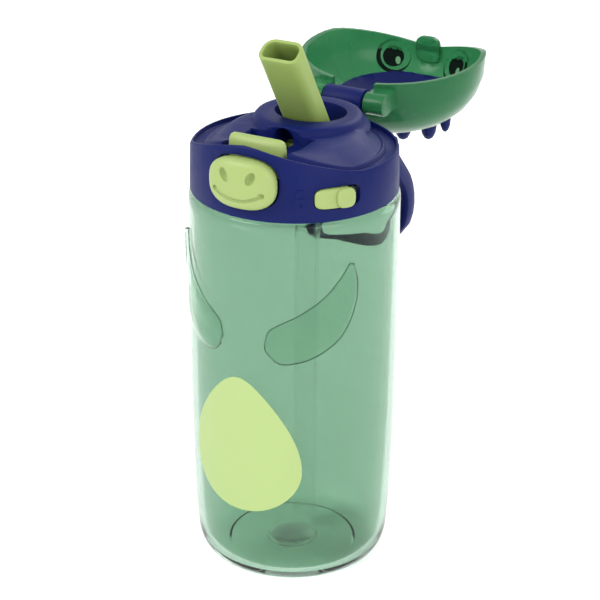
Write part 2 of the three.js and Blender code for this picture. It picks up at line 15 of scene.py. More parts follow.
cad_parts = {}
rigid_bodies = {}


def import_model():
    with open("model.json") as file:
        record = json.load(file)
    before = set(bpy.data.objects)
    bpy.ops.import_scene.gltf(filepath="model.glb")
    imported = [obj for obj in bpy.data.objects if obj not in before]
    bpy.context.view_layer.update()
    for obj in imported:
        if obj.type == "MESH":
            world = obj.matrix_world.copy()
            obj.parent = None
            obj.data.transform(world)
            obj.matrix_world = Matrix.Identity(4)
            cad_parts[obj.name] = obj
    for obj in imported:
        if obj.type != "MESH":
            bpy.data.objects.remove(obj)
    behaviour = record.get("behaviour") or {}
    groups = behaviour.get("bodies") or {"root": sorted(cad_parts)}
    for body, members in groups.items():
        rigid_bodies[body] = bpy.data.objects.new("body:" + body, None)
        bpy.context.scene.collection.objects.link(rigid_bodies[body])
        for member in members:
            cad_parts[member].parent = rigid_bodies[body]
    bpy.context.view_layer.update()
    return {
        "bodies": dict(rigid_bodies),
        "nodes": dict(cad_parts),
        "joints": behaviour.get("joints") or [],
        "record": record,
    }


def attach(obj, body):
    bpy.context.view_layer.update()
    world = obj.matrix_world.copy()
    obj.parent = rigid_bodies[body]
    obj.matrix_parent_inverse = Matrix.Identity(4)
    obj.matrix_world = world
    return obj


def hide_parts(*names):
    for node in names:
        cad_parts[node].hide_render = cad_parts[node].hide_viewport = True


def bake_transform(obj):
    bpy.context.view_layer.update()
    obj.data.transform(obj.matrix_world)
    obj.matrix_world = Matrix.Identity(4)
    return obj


LOG = logging.getLogger("straw_bottle")
MM = 0.001
SAME_POINT = 0.001 * MM
TONE_CLOUDS = 60.0  # blobs per metre of the two tones
GLOSS_CLOUDS = 220.0  # blobs per metre of the gloss
GLOSS_LEAST, GLOSS_SPREAD = 0.85, 0.3  # shares of a finish's roughness
Colour = tuple[float, float, float]
Place = tuple[float, float, float]


def srgb(red: int, green: int, blue: int) -> Colour:
    """Turns a colour in 0 to 255 steps into the linear values that shaders use.

    Args:
        red: Red, 0 to 255.
        green: Green, 0 to 255.
        blue: Blue, 0 to 255.

    Returns:
        The linear colour.
    """
    shares = [value / 255 for value in (red, green, blue)]
    return tuple(s / 12.92 if s <= 0.04045 else ((s + 0.055) / 1.055) ** 2.4 for s in shares)


# ---- shading ------------------------------------------------------------------------------


class Value:
    """One number that varies over a surface, ready for Python arithmetic."""

    def __init__(self, shader: "Shader", socket: bpy.types.NodeSocket) -> None:
        """Keeps the socket and the material it belongs to."""
        self.shader = shader
        self.socket = socket

    def _math(self, operation: str, left: "Value | float", right: "Value | float") -> "Value":
        """Adds one Math node.

        Args:
            operation: The Math node's operation.
            left: First value.
            right: Second value.

        Returns:
            The node's result.
        """
        node = self.shader.node("ShaderNodeMath", {"operation": operation}, {0: left, 1: right})
        return Value(self.shader, node.outputs[0])

    def __add__(self, other: "Value | float") -> "Value":
        """Sum."""
        return self._math("ADD", self, other)

    def __radd__(self, other: float) -> "Value":
        """Sum with a plain number on the left."""
        return self._math("ADD", other, self)

    def __mul__(self, other: "Value | float") -> "Value":
        """Product."""
        return self._math("MULTIPLY", self, other)

    def __rmul__(self, other: float) -> "Value":
        """Product with a plain number on the left."""
        return self._math("MULTIPLY", other, self)


class Shader:
    """A material under construction."""

    def __init__(self, name: str) -> None:
        """Starts an empty material."""
        self.material = bpy.data.materials.new(name)
        self.material.use_nodes = True
        self.tree = self.material.node_tree
        self.tree.nodes.clear()

    def node(self, kind: str, settings: dict | None = None, inputs: dict | None = None) -> bpy.types.Node:
        """Adds a node of any type.

        Args:
            kind: The node's type.
            settings: Properties, set before the sockets.
            inputs: Socket names or numbers with their values or links.

        Returns:
            The new node.
        """
        made = self.tree.nodes.new(kind)
        for key, setting in (settings or {}).items():
            setattr(made, key, setting)
        for key, value in (inputs or {}).items():
            source = value.socket if isinstance(value, Value) else value
            if isinstance(source, bpy.types.NodeSocket):
                self.tree.links.new(source, made.inputs[key])
            else:
                made.inputs[key].default_value = source
        return made

    def coordinates(self) -> bpy.types.NodeSocket:
        """The piece's own coordinates, in metres."""
        return self.node("ShaderNodeTexCoord").outputs["Object"]

    def clouds(self, scale: float, detail: float = 3.0) -> Value:
        """A soft noise over the piece.

        Args:
            scale: Blobs per metre.
            detail: Finer layers.

        Returns:
            The noise, about 0.5 on average.
        """
        sockets = {"Vector": self.coordinates(), "Scale": scale, "Detail": detail}
        return Value(self, self.node("ShaderNodeTexNoise", {}, sockets).outputs[0])

    def blend(self, share: Value, first: Colour, second: Colour) -> bpy.types.NodeSocket:
        """Mixes two colours by a share of the second.

        Args:
            share: How much of the second, 0 to 1.
            first: Linear colour.
            second: Linear colour.

        Returns:
            The mixed colour's socket.
        """
        mix = self.node("ShaderNodeMix", {"data_type": "RGBA"})
        self.tree.links.new(share.socket, mix.inputs["Factor"])
        for socket, colour in zip([s for s in mix.inputs if s.type == "RGBA"], (first, second)):
            socket.default_value = (*colour, 1.0)
        return next(s for s in mix.outputs if s.type == "RGBA")

    def close(self, surface: bpy.types.NodeSocket) -> bpy.types.Material:
        """Links the surface to the output.

        Args:
            surface: The surface shader's socket.

        Returns:
            The finished material.
        """
        self.node("ShaderNodeOutputMaterial", {}, {"Surface": surface})
        return self.material


class Texture(Enum):
    """How a moulded surface was finished in the tool: grains per metre, and their depth in metres."""

    POLISHED = (1400.0, 0.000004)
    SATIN = (2600.0, 0.00001)
    MATT = (3400.0, 0.000025)


@dataclass(frozen=True)
class Finish:
    """A moulded finish: two close tones in faint clouds, with a fine surface grain."""

    name: str
    slot: str
    colour: Colour
    tone: Colour
    roughness: float = 0.35
    texture: Texture = Texture.SATIN
    coat: float = 0.0
    transmission: float = 0.0
    ior: float = 1.46
    metallic: float = 0.0
    subsurface: float = 0.0
    specular: float = 0.5
    alpha: float = 1.0

    def constants(self) -> dict:
        """Sockets of the shader that hold one value all over.

        Returns:
            Socket names and values.
        """
        return {
            "Metallic": self.metallic,
            "IOR": self.ior,
            "Transmission Weight": self.transmission,
            "Coat Weight": self.coat,
            "Coat Roughness": 0.08,
            "Specular IOR Level": self.specular,
            "Alpha": self.alpha,
            "Subsurface Weight": self.subsurface,
            "Subsurface Scale": 2 * MM,
        }

    def build(self) -> bpy.types.Material:
        """Makes the material, or finds it if it was made before.

        Returns:
            The material.
        """
        found = bpy.data.materials.get(self.name)
        if found:
            return found
        shader = Shader(self.name)
        grain, depth = self.texture.value
        colour = shader.blend(shader.clouds(TONE_CLOUDS), self.colour, self.tone)
        fine = shader.clouds(grain, 2.0)
        bump = shader.node("ShaderNodeBump", {}, {"Strength": 0.5, "Distance": depth, "Height": fine})
        gloss = self.roughness * GLOSS_LEAST + self.roughness * GLOSS_SPREAD * shader.clouds(GLOSS_CLOUDS)
        sockets = {"Base Color": colour, "Roughness": gloss, "Normal": bump.outputs["Normal"]}
        surface = shader.node("ShaderNodeBsdfPrincipled", {}, {**self.constants(), **sockets})
        return shader.close(surface.outputs["BSDF"])


CLEAR_BODY = Finish("clear body", "clear_green", srgb(170, 197, 179), srgb(166, 193, 175), 0.02,
                    Texture.POLISHED, transmission=1.0, ior=1.26)
CLEAR_ARM = Finish("clear arm", "clear_green", srgb(226, 240, 231), srgb(222, 237, 227), 0.02,
                   Texture.POLISHED, transmission=1.0, ior=1.16)
# Painted shade: the dark green of the beads along the clear arms' edges stands in for the dark outline that
# the relief's edges show.
ARM_EDGE_SHADE = Finish("arm edge", "clear_green", srgb(74, 112, 90), srgb(70, 106, 85), 0.2,
                  Texture.POLISHED, transmission=0.6, ior=1.3)
HEAD_GREEN = Finish("head green", "head_green", srgb(54, 134, 84), srgb(49, 125, 77), 0.22,
                    Texture.POLISHED, transmission=0.5, ior=1.3, specular=0.3)
NAVY = Finish("navy shell", "navy", srgb(8, 22, 84), srgb(6, 19, 76), 0.5, specular=0.16)
LIME = Finish("lime plastic", "lime", srgb(149, 168, 99), srgb(144, 163, 95), 0.45, subsurface=0.1)
SOFT_LIME = Finish("soft lime", "silicone_lime", srgb(138, 160, 84), srgb(132, 154, 80), 0.5,
                   Texture.MATT, subsurface=0.1)
MILKY = Finish("milky straw", "straw_clear", srgb(246, 250, 248), srgb(242, 247, 244), 0.05,
               Texture.POLISHED, transmission=1.0, ior=1.04, alpha=0.4)
MILKY_SOFT = Finish("milky silicone", "silicone_clear", srgb(206, 214, 210), srgb(196, 205, 201), 0.5,
                    Texture.MATT, subsurface=0.2)
STEEL = Finish("steel", "steel", srgb(186, 188, 192), srgb(172, 174, 179), 0.28, metallic=1.0)
BELLY_INK = Finish("belly print", "lime", srgb(163, 184, 120), srgb(160, 181, 117), 0.45, specular=0.25)
DARK_INK = Finish("dark print", "head_green", srgb(6, 22, 14), srgb(4, 18, 11), 0.7,
                  Texture.MATT, specular=0.08)
PALE_INK = Finish("pale print", "head_green", srgb(96, 150, 106), srgb(90, 142, 100), 0.5)


# ---- bench --------------------------------------------------------------------------------


class Bench:
    """Modelling steps that every sub-assembly uses."""

    @staticmethod
    def clear() -> None:
        """Leaves edit mode and deselects everything."""
        if bpy.context.object and bpy.context.object.mode != "OBJECT":
            bpy.ops.object.mode_set(mode="OBJECT")
        bpy.ops.object.select_all(action="DESELECT")

    @staticmethod
    def hold(obj: bpy.types.Object) -> bpy.types.Object:
        """Makes one object the only selected and active one.

        Args:
            obj: The object.

        Returns:
            The same object.
        """
        Bench.clear()
        obj.select_set(True)
        bpy.context.view_layer.objects.active = obj
        return obj

    @staticmethod
    def edit(obj: bpy.types.Object, kind: str = "VERT") -> None:
        """Opens an object in edit mode with nothing selected.

        Args:
            obj: The object.
            kind: Select mode, VERT, EDGE or FACE.
        """
        Bench.hold(obj)
        bpy.ops.object.mode_set(mode="EDIT")
        bpy.ops.mesh.select_mode(type=kind)
        bpy.ops.mesh.select_all(action="DESELECT")

    @staticmethod
    def pick_vertices(obj: bpy.types.Object, test: Callable[[Vector], bool]) -> None:
        """Selects the vertices whose place passes a test, in edit mode.

        Args:
            obj: The object in edit mode.
            test: The test.
        """
        bpy.ops.mesh.select_all(action="DESELECT")
        bpy.ops.object.mode_set(mode="OBJECT")
        for vertex in obj.data.vertices:
            vertex.select = test(vertex.co)
        bpy.ops.object.mode_set(mode="EDIT")

    @staticmethod
    def pick_edges(obj: bpy.types.Object, test: Callable[[Vector, Vector], bool]) -> None:
        """Selects the edges whose two ends pass a test, in edit mode.

        Args:
            obj: The object in edit mode.
            test: The test.
        """
        bpy.ops.mesh.select_all(action="DESELECT")
        bpy.ops.object.mode_set(mode="OBJECT")
        points = obj.data.vertices
        for edge in obj.data.edges:
            edge.select = test(points[edge.vertices[0]].co, points[edge.vertices[1]].co)
        bpy.ops.object.mode_set(mode="EDIT")

    @staticmethod
    def pick_faces(obj: bpy.types.Object, test: Callable[[Vector, Vector], bool]) -> None:
        """Selects the faces whose centre and normal pass a test, in edit mode.

        Args:
            obj: The object in edit mode.
            test: The test.
        """
        bpy.ops.mesh.select_all(action="DESELECT")
        bpy.ops.object.mode_set(mode="OBJECT")
        for face in obj.data.polygons:
            face.select = test(face.center, face.normal)
        bpy.ops.object.mode_set(mode="EDIT")

    @staticmethod
    def settle(obj: bpy.types.Object, place: Place = (0, 0, 0), turn: Place = (0, 0, 0)) -> None:
        """Turns and moves an object, and writes both into its mesh.

        Args:
            obj: The object.
            place: Move, in metres.
            turn: Euler turn, in radians.
        """
        Bench.hold(obj)
        obj.rotation_euler = turn
        obj.location = place
        bpy.ops.object.transform_apply(location=True, rotation=True, scale=True)

    @staticmethod
    def modify(obj: bpy.types.Object, kind: str, **settings: object) -> None:
        """Adds a modifier with its settings and applies it.

        Args:
            obj: The object.
            kind: The modifier's type.
            settings: Its properties.
        """
        Bench.hold(obj)
        modifier = obj.modifiers.new(kind.title(), kind)
        for key, setting in settings.items():
            setattr(modifier, key, setting)
        bpy.ops.object.modifier_apply(modifier=modifier.name)

    @staticmethod
    def smooth(obj: bpy.types.Object, degrees: float = 35.0) -> None:
        """Shades an object smooth where its faces meet at less than an angle.

        Args:
            obj: The object.
            degrees: The angle.
        """
        Bench.hold(obj)
        bpy.ops.object.shade_smooth_by_angle(angle=math.radians(degrees))

    @staticmethod
    def carve(target: bpy.types.Object, cutter: bpy.types.Object) -> None:
        """Cuts one object out of another and removes it.

        Args:
            target: What is cut.
            cutter: What is cut out of it.
        """
        Bench.modify(target, "BOOLEAN", operation="DIFFERENCE", object=cutter, solver="EXACT")
        bpy.data.objects.remove(cutter)

    @staticmethod
    def outward(obj: bpy.types.Object) -> None:
        """Merges doubles and turns every face outwards.

        Args:
            obj: The object, closed or one face thick.
        """
        Bench.edit(obj)
        bpy.ops.mesh.select_all(action="SELECT")
        bpy.ops.mesh.remove_doubles(threshold=SAME_POINT)
        bpy.ops.mesh.normals_make_consistent(inside=False)
        bpy.ops.object.mode_set(mode="OBJECT")
        if sum(face.center.dot(face.normal) * face.area for face in obj.data.polygons) < 0:
            Bench.edit(obj)
            bpy.ops.mesh.select_all(action="SELECT")
            bpy.ops.mesh.flip_normals()
            bpy.ops.object.mode_set(mode="OBJECT")

    @staticmethod
    def copy_node(node: bpy.types.Object, name: str) -> bpy.types.Object:
        """Copies a frame node as one merged mesh.

        Args:
            node: The frame's node.
            name: The copy's name.

        Returns:
            The copy, at the origin.
        """
        made = bpy.data.objects.new(name, node.data.copy())
        bpy.context.scene.collection.objects.link(made)
        made.data.materials.clear()
        Bench.edit(made)
        bpy.ops.mesh.select_all(action="SELECT")
        bpy.ops.mesh.remove_doubles(threshold=2 * SAME_POINT)
        bpy.ops.object.mode_set(mode="OBJECT")
        return made

    @staticmethod
    def dress(obj: bpy.types.Object, finish: Finish) -> bpy.types.Object:
        """Gives an object one finish.

        Args:
            obj: The object.
            finish: Its finish.

        Returns:
            The same object.
        """
        obj.data.materials.clear()
        obj.data.materials.append(finish.build())
        return obj

    @staticmethod
    def lay_print(patch: bpy.types.Object, surface: bpy.types.Object, lift: float, thickness: float) -> None:
        """Wraps a flat patch onto a surface as a thin print.

        Args:
            patch: A flat, finely divided patch near the surface.
            surface: What it is printed on.
            lift: Gap under the ink.
            thickness: The ink's own thickness.
        """
        Bench.modify(patch, "SHRINKWRAP", target=surface, wrap_method="NEAREST_SURFACEPOINT",
                     wrap_mode="ABOVE_SURFACE", offset=lift)
        Bench.modify(patch, "SOLIDIFY", thickness=thickness, offset=0.0)
        Bench.outward(patch)
        Bench.smooth(patch, 60)

    @staticmethod
    def wrap_round(obj: bpy.types.Object, radius_at: Callable[[float], float]) -> None:
        """Wraps a shape in the XZ plane round the bottle's axis.

        Args:
            obj: The shape: X runs round the wall and Y is the height over it, towards +Y.
            radius_at: Radius of the wall at a height.
        """
        for vertex in obj.data.vertices:
            radius = radius_at(vertex.co.z)
            angle = vertex.co.x / radius
            reach = radius + vertex.co.y
            vertex.co = (reach * math.sin(angle), -reach * math.cos(angle), vertex.co.z)


@dataclass(frozen=True)
class Polish:
    """How a frame node is finished by hand: edge rounding, extra rounds of smoothing and shading angle."""

    bevel: float = 0.0
    segments: int = 2
    rounds: int = 0
    angle: float = 35.0


@dataclass
class SubAssembly:
    """Pieces that are made and dressed together."""

    frame: dict
    body: str = ""

    def refine(self, node: str, finish: Finish, polish: Polish = Polish()) -> bpy.types.Object:
        """Stands a finished copy in for a frame node.

        Args:
            node: The frame node's name.
            finish: Its finish.
            polish: How its edges and faces are smoothed.

        Returns:
            The new piece.
        """
        piece = Bench.copy_node(self.frame["nodes"][node], f"{node}_finished")
        if polish.rounds:
            Bench.modify(piece, "SUBSURF", levels=polish.rounds, render_levels=polish.rounds)
        if polish.bevel:
            Bench.modify(piece, "BEVEL", width=polish.bevel, segments=polish.segments, limit_method="ANGLE",
                         angle_limit=math.radians(polish.angle))
        Bench.smooth(piece, polish.angle)
        return self.fit(piece, finish, node)

    def fit(self, piece: bpy.types.Object, finish: Finish, *nodes: str) -> bpy.types.Object:
        """Dresses a piece, puts it on this sub-assembly's body and lets it stand for its nodes.

        Args:
            piece: The piece, in place.
            finish: Its finish.
            nodes: Frame nodes it stands for.

        Returns:
            The same piece.
        """
        Bench.dress(piece, finish)
        if nodes:
            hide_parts(*nodes)
        if self.body:
            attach(piece, self.body)
        LOG.info("%s: %d faces on %s", piece.name, len(piece.data.polygons), self.body or "two bodies")
        return piece

    def build(self) -> None:
        """Makes the sub-assembly's pieces."""
        raise NotImplementedError


# ---- bottle -------------------------------------------------------------------------------


@dataclass
class Bottle(SubAssembly):
    """Clear bottle with its raised arms and the belly print."""

    body: str = "bottle"
    radius: float = 36.5 * MM
    inner_wall: float = 34.4  # widest radius of the inside, in millimetres
    facets: int = 144
    arm_rows: int = 48
    arm_columns: int = 16
    arm_relief: float = 0.8 * MM
    arm_gap: float = 0.05 * MM
    edge_bead: float = 0.18 * MM
    print_half_width: float = 22.8 * MM
    print_low: float = 29.6 * MM
    print_high: float = 81.5 * MM
    print_widest: float = 47.5 * MM
    print_shift: float = -1.8 * MM
    print_taper: float = 0.43
    print_bands: int = 48
    ink: float = 0.08 * MM
    ink_lift: float = 0.12 * MM
    arm_route: tuple[Place, ...] = (  # round the wall, height and half width, in millimetres
        (8.6, 94.0, 1.5), (11.2, 94.8, 6.0), (16.5, 96.6, 7.7), (23.0, 99.4, 8.2), (29.3, 103.8, 8.0),
        (34.0, 110.0, 6.4), (37.0, 117.0, 4.0), (38.2, 124.0, 0.8),
    )

    @staticmethod
    def curve(start: Place, corner: Place, end: Place, count: int) -> list[tuple[float, float]]:
        """Points on a smooth bend.

        Args:
            start: First point, as radius and height.
            corner: The point it bends towards.
            end: Last point.
            count: How many points.

        Returns:
            The points, both ends included.
        """
        shares = [i / (count - 1) for i in range(count)]
        return [
            tuple((1 - t) ** 2 * a + 2 * t * (1 - t) * b + t * t * c for a, b, c in zip(start, corner, end))
            for t in shares
        ]

    def section(self) -> list[tuple[float, float]]:
        """Section of the wall, from the middle of the standing face round to the floor's middle.

        Returns:
            Radius and height pairs, in millimetres.
        """
        outside = [
            (0, 0), *self.curve((7.2, 0), (8.6, 0), (9.2, 0.8), 5), (22.4, 0.8), (23.4, 0.1),
            *self.curve((25, 0), (33.6, -0.2), (34.5, 10), 14),
            (35.3, 22), (35.8, 38), (36.3, 58), (36.5, 85), (36.5, 135),
            *self.curve((36.5, 136.5), (36.5, 139.6), (34.4, 139.6), 7),
            (28.1, 139.6), (27.5, 140.2), (27.5, 148.5), (27.1, 148.9),
        ]
        inside = [
            (25.3, 148.9), (25.3, 139.4), (26.2, 137.7),
            *self.curve((31, 137.3), (34.3, 137.3), (34.3, 133), 7),
            (34.3, 85), (34.1, 58), (33.6, 38), (33, 22),
            *self.curve((32.3, 12), (31.6, 3.3), (25.2, 3.2), 12), (9.4, 3.2),
            *self.curve((8.6, 3.2), (6.5, 5.1), (0, 5.1), 8),
        ]
        return outside + inside

    def barrel(self) -> bpy.types.Object:
        """Spins the section about the bottle's axis.

        Returns:
            The closed barrel.
        """
        section = self.section()
        Bench.clear()
        bpy.ops.mesh.primitive_circle_add(vertices=len(section), fill_type="NOTHING")
        barrel = bpy.context.object
        barrel.name = "clear_bottle"
        for vertex, (radius, height) in zip(barrel.data.vertices, section):
            vertex.co = (radius * MM, 0, height * MM)
        Bench.edit(barrel, "EDGE")
        Bench.pick_edges(barrel, lambda a, b: max(a.x, b.x) < SAME_POINT)
        bpy.ops.mesh.delete(type="EDGE")
        bpy.ops.mesh.select_all(action="SELECT")
        bpy.ops.mesh.spin(steps=self.facets, angle=2 * math.pi, center=(0, 0, 0), axis=(0, 0, 1))
        Bench.outward(barrel)
        return barrel

    def arm(self, side: int) -> bpy.types.Object:
        """Outer face of one raised arm: a grid drawn along its route, wrapped round the wall.

        Args:
            side: 1 on the right, -1 on the left.

        Returns:
            The arm's outer face.
        """
        Bench.clear()
        bpy.ops.mesh.primitive_grid_add(x_subdivisions=self.arm_rows, y_subdivisions=self.arm_columns,
                                        size=2.0)
        arm = bpy.context.object
        arm.name = "arm"
        last = len(self.arm_route) - 1
        for vertex in arm.data.vertices:
            along = (vertex.co.x + 1) / 2 * last
            step = min(int(along), last - 1)
            around = [Vector(self.arm_route[min(max(step + k, 0), last)]) for k in (-1, 0, 1, 2)]
            point, slope = self.through(around, along - step)
            normal = Vector((-slope.y, slope.x, 0)).normalized()
            across = vertex.co.y
            place = point + normal * across * point.z
            vertex.co = (side * place.x * MM, self.arm_relief * (1 - abs(across) ** 6), place.y * MM)
        Bench.wrap_round(arm, lambda height: self.wall_at(height) + self.arm_gap)
        return arm

    def arm_shade_line(self, arm: bpy.types.Object, name: str) -> bpy.types.Object:
        """Thin dark bead along an arm's edge: painted shade for the dark line along the clear relief's edge.

        Args:
            arm: The arm, still one face thick.
            name: The bead's name.

        Returns:
            The bead.
        """
        edge = bpy.data.objects.new(name, arm.data.copy())
        bpy.context.scene.collection.objects.link(edge)
        Bench.edit(edge, "EDGE")
        bpy.ops.mesh.select_all(action="SELECT")
        bpy.ops.mesh.region_to_loop()
        bpy.ops.mesh.select_all(action="INVERT")
        bpy.ops.mesh.delete(type="EDGE_FACE")
        bpy.ops.object.mode_set(mode="OBJECT")
        Bench.hold(edge)
        bpy.ops.object.convert(target="CURVE")
        edge = bpy.context.object
        edge.data.bevel_depth = self.edge_bead
        edge.data.bevel_resolution = 2
        bpy.ops.object.convert(target="MESH")
        edge = bpy.context.object
        Bench.outward(edge)
        Bench.smooth(edge, 80)
        return edge

    def wall_at(self, height: float) -> float:
        """Outer radius of the barrel.

        Args:
            height: Height, between the base bend and the shoulder.

        Returns:
            The radius.
        """
        wall = [(MM * z, MM * r) for r, z in self.section() if r > self.inner_wall and 9 < z < 136]
        for (low, first), (high, second) in zip(wall, wall[1:]):
            if low <= height <= high:
                return first + (second - first) * (height - low) / (high - low)
        return self.radius

    @staticmethod
    def through(points: list[Vector], share: float) -> tuple[Vector, Vector]:
        """A point and a slope on the smooth curve through four points, between the middle two.

        Args:
            points: Four points.
            share: 0 at the second and 1 at the third.

        Returns:
            The point and the slope.
        """
        a, b, c, d = points
        t = share
        square = 2 * a - 5 * b + 4 * c - d
        cube = 3 * b - a - 3 * c + d
        place = 0.5 * (2 * b + (c - a) * t + square * t ** 2 + cube * t ** 3)
        slope = 0.5 * ((c - a) + square * 2 * t + cube * 3 * t ** 2)
        return place, slope

    def belly(self) -> bpy.types.Object:
        """Egg-shaped patch wrapped round the front, widest below its middle.

        Returns:
            The closed patch.
        """
        Bench.clear()
        bpy.ops.mesh.primitive_circle_add(vertices=96, radius=1.0, fill_type="TRIFAN")
        patch = bpy.context.object
        patch.name = "belly_print"
        Bench.settle(patch, turn=(math.pi / 2, 0, 0))
        Bench.edit(patch)
        bpy.ops.mesh.select_all(action="SELECT")
        bpy.ops.mesh.subdivide(number_cuts=11)
        for band in range(self.print_bands):
            Bench.pick_vertices(patch, lambda co, level=band / self.print_bands: co.z > level)
            narrower = 1 - self.print_taper * (2 * band + 1) / self.print_bands ** 2
            bpy.ops.transform.resize(value=(narrower, 1, 1), center_override=(0, 0, 0))
        above, below = self.print_high - self.print_widest, self.print_widest - self.print_low
        for height, up in ((above, 1), (below, -1)):
            Bench.pick_vertices(patch, lambda co, s=up: s * co.z > 0.0)
            bpy.ops.transform.resize(value=(1, 1, height), center_override=(0, 0, 0))
        bpy.ops.mesh.select_all(action="SELECT")
        bpy.ops.transform.resize(value=(self.print_half_width, 1, 1), center_override=(0, 0, 0))
        bpy.ops.object.mode_set(mode="OBJECT")
        Bench.settle(patch, (self.print_shift, 0, self.print_widest))
        Bench.wrap_round(patch, lambda height: self.wall_at(height) + self.ink_lift)
        Bench.modify(patch, "SOLIDIFY", thickness=self.ink, offset=0.0)
        Bench.outward(patch)
        Bench.smooth(patch, 60)
        return patch

    def build(self) -> None:
        """Makes the clear body, its arms and the print."""
        barrel = self.barrel()
        Bench.smooth(barrel, 30)
        barrel.visible_shadow = False  # clear plastic lets the light through
        self.fit(barrel, CLEAR_BODY, "bottle_body")
        for side, word in ((-1, "left"), (1, "right")):
            arm = self.arm(side)
            arm.name = f"arm_{word}"
            # Each arm's edge gets a dark bead of painted shade.
            self.fit(self.arm_shade_line(arm, f"arm_edge_{word}"), ARM_EDGE_SHADE)
            Bench.modify(arm, "SOLIDIFY", thickness=self.arm_relief * 0.5, offset=-1.0)
            Bench.outward(arm)
            Bench.smooth(arm, 50)
            self.fit(arm, CLEAR_ARM)
        self.fit(self.belly(), BELLY_INK)


# ---- lid ----------------------------------------------------------------------------------


@dataclass
class Lid(SubAssembly):
    """Lid shell and everything that stays inside it."""

    body: str = "lid"

    def build(self) -> None:
        """Makes the shell, the liner, the valve and the straw's pieces."""
        self.refine("lid_shell", NAVY, Polish(bevel=0.28 * MM, segments=2, angle=38))
        self.refine("lid_liner", NAVY, Polish(bevel=0.2 * MM))
        self.refine("vent_valve", MILKY_SOFT, Polish(angle=45))
        self.refine("straw_adapter", MILKY_SOFT, Polish(bevel=0.2 * MM))
        self.refine("drinking_straw", MILKY, Polish(angle=50))
        self.refine("spout_bed", SOFT_LIME, Polish(bevel=0.15 * MM))
        for pin in ("hinge_pin", "loop_pin_right", "loop_pin_left", "lock_detent"):
            self.refine(pin, STEEL, Polish(bevel=0.15 * MM))
        self.refine("hinge_spring", STEEL, Polish(rounds=1, angle=60))


@dataclass
class Seal(SubAssembly):
    """Flat ring between the neck and the lid."""

    body: str = "seal"

    def build(self) -> None:
        """Makes the ring."""
        self.refine("lid_seal", MILKY_SOFT, Polish(angle=50))


# ---- drinking spout -----------------------------------------------------------------------


@dataclass
class Spout(SubAssembly):
    """Soft leaning spout, one tube from its bed to its mouth."""

    body: str = ""
    half_width: float = 7.5 * MM
    half_depth: float = 4.7 * MM
    wall: float = 1.35 * MM
    length: float = 37.2 * MM
    start: float = -2.0 * MM
    front_corner: float = 3.0 * MM
    back_corner: float = 4.3 * MM
    lip: float = 0.5 * MM
    slices: int = 16
    foot: Place = (0.0, 10.2 * MM, 159.0 * MM)
    lean: float = math.radians(32.8)
    bend_from: float = 8.0 * MM
    bend_to: float = 17.5 * MM

    def along(self, distance: float) -> Place:
        """A point on the spout's axis.

        Args:
            distance: From the foot, in metres.

        Returns:
            The point in the bottle's frame.
        """
        x, y, z = self.foot
        return (x, y - distance * math.sin(self.lean), z + distance * math.cos(self.lean))

    def tube(self) -> bpy.types.Object:
        """Straight tube along +Z with a flat front and a round back.

        Returns:
            The open shell, one face thick.
        """
        size = (2 * self.half_width, 2 * self.half_depth, self.length - self.start)
        Bench.clear()
        bpy.ops.mesh.primitive_cube_add(size=1.0, location=(0, 0, (self.length + self.start) / 2), scale=size)
        tube = bpy.context.object
        tube.name = "spout"
        Bench.settle(tube, tuple(tube.location))
        upright = self.length / 2
        for sign, radius in ((-1, self.front_corner), (1, self.back_corner)):
            Bench.edit(tube, "EDGE")
            Bench.pick_edges(tube, lambda a, b, s=sign: abs(a.z - b.z) > upright and s * (a + b).y > 0)
            bpy.ops.mesh.bevel(offset=radius, offset_type="OFFSET", segments=8, affect="EDGES")
            bpy.ops.object.mode_set(mode="OBJECT")
        Bench.edit(tube, "FACE")
        Bench.pick_faces(tube, lambda centre, normal: abs(normal.z) > 0.9)
        bpy.ops.mesh.delete(type="FACE")
        for i in range(1, self.slices):
            bpy.ops.mesh.select_all(action="SELECT")
            height = self.start + (self.length - self.start) * i / self.slices
            bpy.ops.mesh.bisect(plane_co=(0, 0, height), plane_no=(0, 0, 1))
        bpy.ops.object.mode_set(mode="OBJECT")
        return tube

    def build(self) -> None:
        """Makes the tube, gives it its wall and lip, and leans it into place."""
        piece = self.tube()
        Bench.outward(piece)
        Bench.modify(piece, "SOLIDIFY", thickness=self.wall, offset=-1.0, use_even_offset=True)
        Bench.modify(piece, "BEVEL", width=self.lip, segments=3, limit_method="ANGLE",
                     angle_limit=math.radians(60))
        Bench.settle(piece, self.foot, (self.lean, 0, 0))
        Bench.smooth(piece, 40)
        self.fit(piece, SOFT_LIME, "spout_base", "spout_tip")
        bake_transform(piece)


# ---- catch --------------------------------------------------------------------------------


